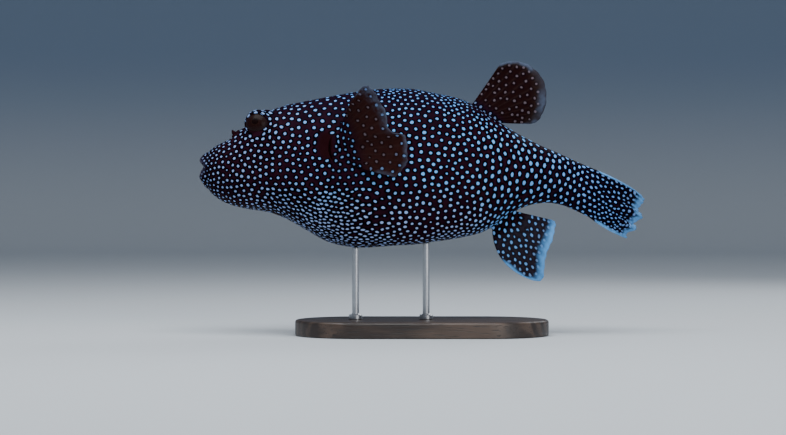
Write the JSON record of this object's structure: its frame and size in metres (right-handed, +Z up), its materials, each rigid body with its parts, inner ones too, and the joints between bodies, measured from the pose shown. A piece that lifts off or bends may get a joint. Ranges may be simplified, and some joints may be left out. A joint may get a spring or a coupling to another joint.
{
  "type": "spotted pufferfish on a display stand",
  "caption": "Life-size still model of a white-spotted dark pufferfish swimming, held over a flat base by short rods.",
  "frame": {"origin": "middle of the underside of the stand's base, under the middle of the whole length", "axes": "-X is the way the fish faces, -Y is its left side, +Z is up"},
  "size_m": [0.4002, 0.1838, 0.2476],
  "materials": {
    "skin": "satin, dark maroon brown with pale blue-white spots",
    "fin": "satin, brown membrane with a pale clear margin",
    "eye": "wet gloss, dark brown",
    "beak": "satin enamel, cream",
    "stand_wood": "dark stained, satin",
    "stand_steel": "brushed"
  },
  "bodies": {
    "root": {"head": "skin", "trunk": "skin", "tail": "skin", "nostril_left": "skin", "nostril_right": "skin", "caudal_fin": "fin", "dorsal_fin": "fin", "anal_fin": "fin", "pectoral_fin_left": "fin", "pectoral_fin_right": "fin", "eye_left": "eye", "eye_right": "eye", "beak_upper": "beak", "beak_lower": "beak", "stand_base": "stand_wood", "stand_rod_front": "stand_steel", "stand_rod_rear": "stand_steel"}
  },
  "joints": []
}
